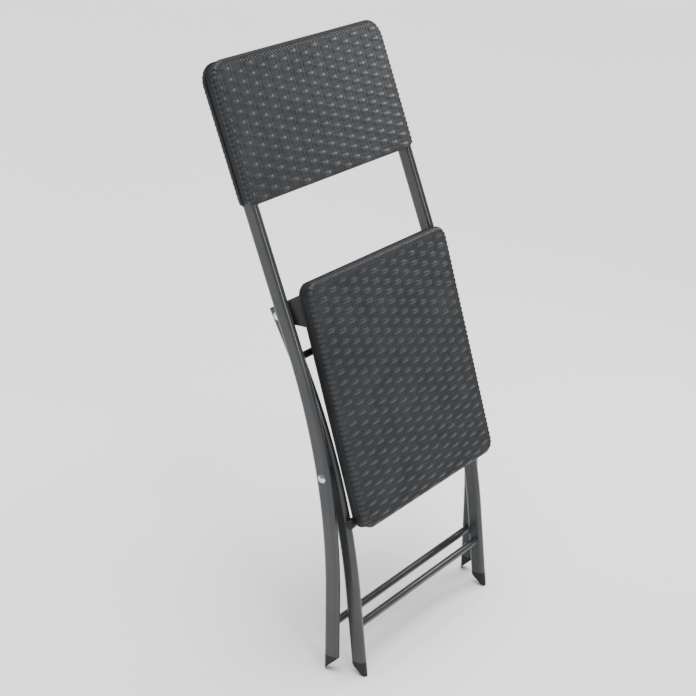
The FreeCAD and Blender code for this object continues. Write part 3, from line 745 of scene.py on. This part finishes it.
SEAT_RADII = (22.0 * MM, 22.0 * MM)
SEAT_RIM = 2.0 * MM
SEAT_RECESS = 1.0 * MM
SEAT_STEPS = 12
DIMPLE_PITCH = 46.0 * MM
DIMPLE_RADIUS = 8.0 * MM
DIMPLE_DEPTH = 5.0 * MM
TUBE_GAP = 0.2 * MM
UNDERSIDE_WITHIN = 0.5 * MM         # points this near the lowest are on the flat underside


def dimples_and_groove(mesh, centre, up, size):
    """Press the dimples into the underside and make room for the rest tube."""
    co = points_of(mesh)
    under = co[:, 2] < -size[2] / 2 + UNDERSIDE_WITHIN
    rail_low, rail_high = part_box("seat_rail_right")
    clear_x = min(abs(rail_low.x), abs(rail_high.x)) - DIMPLE_RADIUS
    near_x = np.round(co[:, 0] / DIMPLE_PITCH) * DIMPLE_PITCH
    near_z = np.round(co[:, 1] / DIMPLE_PITCH) * DIMPLE_PITCH
    away = np.hypot(co[:, 0] - near_x, co[:, 1] - near_z) / DIMPLE_RADIUS
    wanted = under & (np.abs(near_x) < clear_x) & (np.abs(near_z) < size[1] / 2 - DIMPLE_PITCH)
    press = DIMPLE_DEPTH * (1 + np.cos(math.pi * np.minimum(away, 1))) / 2
    co[:, 2] += np.where(wanted, press, 0)
    tube_low, tube_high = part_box("seat_rest_tube")
    middle = (tube_low + tube_high) / 2 - centre
    radius = (tube_high.z - tube_low.z) / 2 + TUBE_GAP
    along_up = co[:, 1] - middle.dot(up)
    along_out = co[:, 2] - middle.dot(seat_out)
    inside = (np.abs(along_up) < radius) & (co[:, 2] < 0)
    arch = np.sqrt(np.clip(radius ** 2 - along_up ** 2, 0, None))
    co[:, 2] += np.where(inside, np.clip(arch - along_out, 0, None), 0)
    mesh.vertices.foreach_set("co", co.ravel())


moulded_panel("seat_panel", "seat_moulding", "seat",
              out=seat_out, radii=SEAT_RADII, rim=SEAT_RIM, recess=SEAT_RECESS,
              back_woven=False, steps=SEAT_STEPS, shaped=dimples_and_groove)

# ---------------------------------------------------------------- floor, light and camera
# A plain pale floor and soft studio light: a small box on each side draws the sheen on the
# panels and the tubes, a large weak one fills in the front, and a wide ceiling lights the floor.
# The camera looks down on the chair from its rear right, through a long lens.

FLOOR_SIZE = 40.0
MIDDLE_OF_CHAIR = (0.0, 0.0, 0.5)
CEILING_ANGLE = math.radians(60)
CEILING_STRENGTH = 5.0
WORLD_STRENGTH = 0.3
LENS = 87.93
SENSOR_WIDTH = 36.0
CAMERA_FROM_PIVOT = (2.1047, 1.3192, 1.3105)    # from between the scissor pivots
CAMERA_RIGHT = Vector((-0.5905, 0.8035, 0.0755))
CAMERA_UP = Vector((-0.3027, -0.3073, 0.9022))


def plain_floor():
    """Matt painted floor: almost white, with a faint wide cloudiness."""
    material, tree, shader = finish_material("pale_floor", Roughness=0.9)
    two_tones(tree, shader, grain(tree, 1.5), "#f4f4f4", "#f8f8f8")
    return material


ground = bmesh.new()
bmesh.ops.create_grid(ground, x_segments=1, y_segments=1, size=FLOOR_SIZE / 2)
floor_mesh = bpy.data.meshes.new("floor")
ground.to_mesh(floor_mesh)
ground.free()
floor = linked("floor", floor_mesh)
floor_mesh.materials.append(plain_floor())


def soft_box(name, place, aim, size, watts):
    """Large square studio light at a place, facing a point."""
    light = bpy.data.lights.new(name, "AREA")
    light.shape = "SQUARE"
    light.size = size
    light.energy = watts
    lamp = linked(name, light)
    lamp.location = place
    lamp.rotation_euler = (Vector(aim) - Vector(place)).to_track_quat("-Z", "Y").to_euler()


soft_box("far_side", place=(-1.42, 0.28, 1.25), aim=(0.0, 0.0, 0.85), size=0.45, watts=11.0)
soft_box("near_side", place=(1.5, 2.7, 1.5), aim=(0.0, 0.0, 0.7), size=0.6, watts=30.0)
soft_box("front", place=(0.6, -3.0, 2.2), aim=MIDDLE_OF_CHAIR, size=2.0, watts=12.0)

ceiling = bpy.data.lights.new("ceiling", "SUN")
ceiling.angle = CEILING_ANGLE
ceiling.energy = CEILING_STRENGTH
linked("ceiling", ceiling)

world = bpy.data.worlds.new("studio")
world.use_nodes = True
background = world.node_tree.nodes["Background"]
background.inputs["Color"].default_value = (1.0, 1.0, 1.0, 1.0)
background.inputs["Strength"].default_value = WORLD_STRENGTH
bpy.context.scene.world = world

lens = bpy.data.cameras.new("camera")
lens.lens = LENS
lens.sensor_width = SENSOR_WIDTH
camera = linked("camera", lens)
backward = CAMERA_RIGHT.cross(CAMERA_UP)
turn = Matrix((CAMERA_RIGHT, CAMERA_UP, backward)).transposed().to_4x4()
pivot_low, pivot_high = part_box("scissor_rivet_left")
pivot = (pivot_low + pivot_high) / 2
stand_point = Vector((0, pivot.y, pivot.z)) + Vector(CAMERA_FROM_PIVOT)
camera.matrix_world = Matrix.Translation(stand_point) @ turn
bpy.context.scene.camera = camera

bpy.context.view_layer.update()
